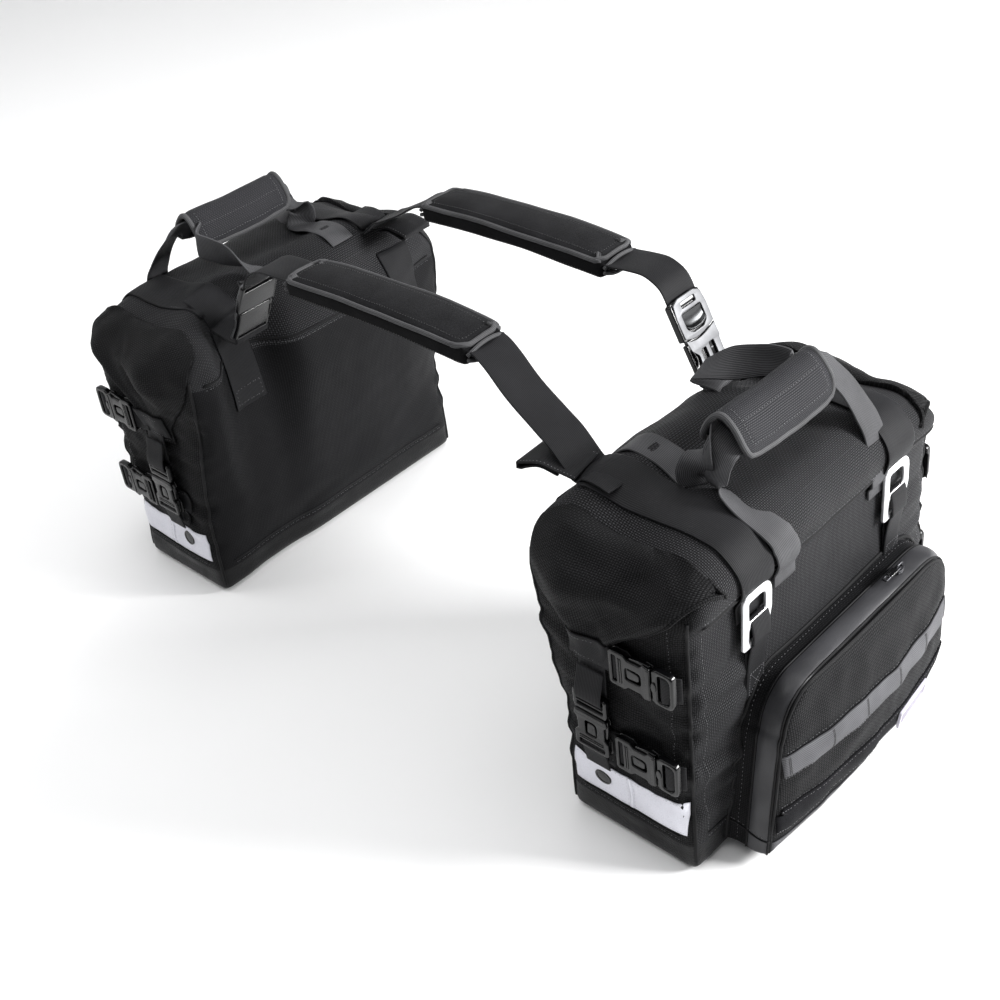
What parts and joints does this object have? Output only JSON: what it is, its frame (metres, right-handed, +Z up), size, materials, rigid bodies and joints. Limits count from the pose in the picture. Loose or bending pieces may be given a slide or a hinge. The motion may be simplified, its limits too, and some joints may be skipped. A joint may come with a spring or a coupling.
{
  "type": "motorcycle saddlebag pair",
  "caption": "Pair of soft roll-top motorcycle saddlebags joined by padded over-seat straps, with front pockets, strap hooks, side release buckles and strap latches.",
  "frame": {"origin": "centre of the base plane of the pair, on the floor midway between the bags", "axes": "+X towards the motorcycle's rear, +Y towards its right side, +Z up"},
  "size_m": [0.4792, 1.0788, 0.498],
  "materials": {
    "ballistic_nylon": "black ballistic nylon, coarse weave",
    "tarpaulin": "coated tarpaulin",
    "lining": "coated lining",
    "board": "polyethylene sheet",
    "zip_coating": "satin coated zip tape",
    "grey_webbing": "grey webbing",
    "badge": "blank moulded patch",
    "reflective": "silver reflective tape",
    "buckle_plastic": "black acetal",
    "webbing": "ribbed black webbing",
    "latch_metal": "brushed metal",
    "hook_metal": "satin aluminium",
    "grip_fabric": "padded nylon",
    "zip_metal": "black coated zinc",
    "pad_felt": "grey brushed felt",
    "binding": "light grey edge binding"
  },
  "bodies": {
    "yoke": {"yoke_pads": "pad_felt", "yoke_straps": "webbing"},
    "left_bag": {"left_bag_shell": "ballistic_nylon", "left_base_boot": "tarpaulin", "left_dry_liner": "lining", "left_back_board": "board", "left_roll_top": "ballistic_nylon", "left_roll_stiffener": "board", "left_front_pocket": "ballistic_nylon", "left_pocket_zip": "zip_coating", "left_pocket_webbing": "grey_webbing", "left_pocket_badge": "badge", "left_reflective_strips": "reflective", "left_buckle_sockets": "buckle_plastic", "left_sewn_webbing": "webbing", "left_top_straps": "webbing", "left_latch_frame": "latch_metal"},
    "left_hook_front": {"left_hook_front": "hook_metal"},
    "left_hook_rear": {"left_hook_rear": "hook_metal"},
    "left_tongue_front_upper": {"left_tongue_front_upper": "buckle_plastic"},
    "left_tongue_front_lower": {"left_tongue_front_lower": "buckle_plastic"},
    "left_tongue_front_roll": {"left_tongue_front_roll": "buckle_plastic"},
    "left_tongue_rear_upper": {"left_tongue_rear_upper": "buckle_plastic"},
    "left_tongue_rear_lower": {"left_tongue_rear_lower": "buckle_plastic"},
    "left_tongue_rear_roll": {"left_tongue_rear_roll": "buckle_plastic"},
    "left_zip_slider": {"left_zip_slider": "zip_metal"},
    "left_zip_pull": {"left_zip_pull": "zip_metal"},
    "left_handle": {"left_handle_grip": "grip_fabric", "left_carry_handle": "webbing"},
    "left_latch_lever": {"left_latch_lever": "latch_metal"},
    "left_latch_insert": {"left_latch_insert": "latch_metal"},
    "right_bag": {"right_bag_shell": "ballistic_nylon", "right_base_boot": "tarpaulin", "right_dry_liner": "lining", "right_back_board": "board", "right_roll_top": "ballistic_nylon", "right_roll_stiffener": "board", "right_front_pocket": "ballistic_nylon", "right_pocket_zip": "zip_coating", "right_pocket_webbing": "grey_webbing", "right_pocket_badge": "badge", "right_reflective_strips": "reflective", "right_buckle_sockets": "buckle_plastic", "right_sewn_webbing": "webbing", "right_top_straps": "webbing", "right_latch_frame": "latch_metal"},
    "right_hook_front": {"right_hook_front": "hook_metal"},
    "right_hook_rear": {"right_hook_rear": "hook_metal"},
    "right_tongue_front_upper": {"right_tongue_front_upper": "buckle_plastic"},
    "right_tongue_front_lower": {"right_tongue_front_lower": "buckle_plastic"},
    "right_tongue_front_roll": {"right_tongue_front_roll": "buckle_plastic"},
    "right_tongue_rear_upper": {"right_tongue_rear_upper": "buckle_plastic"},
    "right_tongue_rear_lower": {"right_tongue_rear_lower": "buckle_plastic"},
    "right_tongue_rear_roll": {"right_tongue_rear_roll": "buckle_plastic"},
    "right_zip_slider": {"right_zip_slider": "zip_metal"},
    "right_zip_pull": {"right_zip_pull": "zip_metal"},
    "right_handle": {"right_handle_grip": "grip_fabric", "right_carry_handle": "webbing"},
    "right_latch_lever": {"right_latch_lever": "latch_metal"},
    "right_latch_insert": {"right_latch_insert": "latch_metal"}
  },
  "joints": [
    {"name": "left_bag_swing", "type": "hinge", "parent": "yoke", "child": "left_bag", "pos_m": [0, -0.1525, 0.4845], "axis": [-1, 0, 0], "range_deg": [-10, 60]},
    {"name": "left_hook_front_slide", "type": "slide", "parent": "left_bag", "child": "left_hook_front", "axis": [-1, 0, 0], "range_m": [0, 0.036], "stiffness_N_per_m": 20},
    {"name": "left_hook_rear_slide", "type": "slide", "parent": "left_bag", "child": "left_hook_rear", "axis": [-1, 0, 0], "range_m": [0, 0.036], "stiffness_N_per_m": 20},
    {"name": "left_tongue_front_upper_slide", "type": "slide", "parent": "left_bag", "child": "left_tongue_front_upper", "axis": [0, -1, 0], "range_m": [0, 0.03], "stiffness_N_per_m": 20},
    {"name": "left_tongue_front_lower_slide", "type": "slide", "parent": "left_bag", "child": "left_tongue_front_lower", "axis": [0, -1, 0], "range_m": [0, 0.03], "stiffness_N_per_m": 20},
    {"name": "left_tongue_front_roll_slide", "type": "slide", "parent": "left_bag", "child": "left_tongue_front_roll", "axis": [0, 0, 1], "range_m": [0, 0.03], "stiffness_N_per_m": 20},
    {"name": "left_tongue_rear_upper_slide", "type": "slide", "parent": "left_bag", "child": "left_tongue_rear_upper", "axis": [0, -1, 0], "range_m": [0, 0.03], "stiffness_N_per_m": 20},
    {"name": "left_tongue_rear_lower_slide", "type": "slide", "parent": "left_bag", "child": "left_tongue_rear_lower", "axis": [0, -1, 0], "range_m": [0, 0.03], "stiffness_N_per_m": 20},
    {"name": "left_tongue_rear_roll_slide", "type": "slide", "parent": "left_bag", "child": "left_tongue_rear_roll", "axis": [0, 0, 1], "range_m": [0, 0.03], "stiffness_N_per_m": 20},
    {"name": "left_zip_travel", "type": "slide", "parent": "left_bag", "child": "left_zip_slider", "axis": [-1, 0, 0], "range_m": [0, 0.19], "stiffness_N_per_m": 5},
    {"name": "left_zip_pull_lift", "type": "hinge", "parent": "left_zip_slider", "child": "left_zip_pull", "pos_m": [0.099, -0.5172, 0.2242], "axis": [0, 1, 0], "range_deg": [0, 150]},
    {"name": "left_handle_flop", "type": "hinge", "parent": "left_bag", "child": "left_handle", "pos_m": [0, -0.42, 0.4], "axis": [1, 0, 0], "range_deg": [-25, 25], "stiffness_Nm_per_rad": 0.6},
    {"name": "left_latch_lever_lift", "type": "hinge", "parent": "left_bag", "child": "left_latch_lever", "pos_m": [0.116, -0.23647, 0.4476], "axis": [-1, 0, 0], "range_deg": [0, 25], "stiffness_Nm_per_rad": 0.02},
    {"name": "left_latch_release", "type": "slide", "parent": "left_bag", "child": "left_latch_insert", "axis": [0, -0.4415, -0.8973], "range_m": [0, 0.03], "stiffness_N_per_m": 60},
    {"name": "right_bag_swing", "type": "hinge", "parent": "yoke", "child": "right_bag", "pos_m": [0, 0.1525, 0.4845], "axis": [1, 0, 0], "range_deg": [-10, 60]},
    {"name": "right_hook_front_slide", "type": "slide", "parent": "right_bag", "child": "right_hook_front", "axis": [1, 0, 0], "range_m": [0, 0.036], "stiffness_N_per_m": 20},
    {"name": "right_hook_rear_slide", "type": "slide", "parent": "right_bag", "child": "right_hook_rear", "axis": [1, 0, 0], "range_m": [0, 0.036], "stiffness_N_per_m": 20},
    {"name": "right_tongue_front_upper_slide", "type": "slide", "parent": "right_bag", "child": "right_tongue_front_upper", "axis": [0, 1, 0], "range_m": [0, 0.03], "stiffness_N_per_m": 20},
    {"name": "right_tongue_front_lower_slide", "type": "slide", "parent": "right_bag", "child": "right_tongue_front_lower", "axis": [0, 1, 0], "range_m": [0, 0.03], "stiffness_N_per_m": 20},
    {"name": "right_tongue_front_roll_slide", "type": "slide", "parent": "right_bag", "child": "right_tongue_front_roll", "axis": [0, 0, 1], "range_m": [0, 0.03], "stiffness_N_per_m": 20},
    {"name": "right_tongue_rear_upper_slide", "type": "slide", "parent": "right_bag", "child": "right_tongue_rear_upper", "axis": [0, 1, 0], "range_m": [0, 0.03], "stiffness_N_per_m": 20},
    {"name": "right_tongue_rear_lower_slide", "type": "slide", "parent": "right_bag", "child": "right_tongue_rear_lower", "axis": [0, 1, 0], "range_m": [0, 0.03], "stiffness_N_per_m": 20},
    {"name": "right_tongue_rear_roll_slide", "type": "slide", "parent": "right_bag", "child": "right_tongue_rear_roll", "axis": [0, 0, 1], "range_m": [0, 0.03], "stiffness_N_per_m": 20},
    {"name": "right_zip_travel", "type": "slide", "parent": "right_bag", "child": "right_zip_slider", "axis": [1, 0, 0], "range_m": [0, 0.19], "stiffness_N_per_m": 5},
    {"name": "right_zip_pull_lift", "type": "hinge", "parent": "right_zip_slider", "child": "right_zip_pull", "pos_m": [-0.099, 0.5172, 0.2242], "axis": [0, -1, 0], "range_deg": [0, 150]},
    {"name": "right_handle_flop", "type": "hinge", "parent": "right_bag", "child": "right_handle", "pos_m": [0, 0.42, 0.4], "axis": [-1, 0, 0], "range_deg": [-25, 25], "stiffness_Nm_per_rad": 0.6},
    {"name": "right_latch_lever_lift", "type": "hinge", "parent": "right_bag", "child": "right_latch_lever", "pos_m": [-0.116, 0.23647, 0.4476], "axis": [1, 0, 0], "range_deg": [0, 25], "stiffness_Nm_per_rad": 0.02},
    {"name": "right_latch_release", "type": "slide", "parent": "right_bag", "child": "right_latch_insert", "axis": [0, 0.4415, -0.8973], "range_m": [0, 0.03], "stiffness_N_per_m": 60}
  ]
}
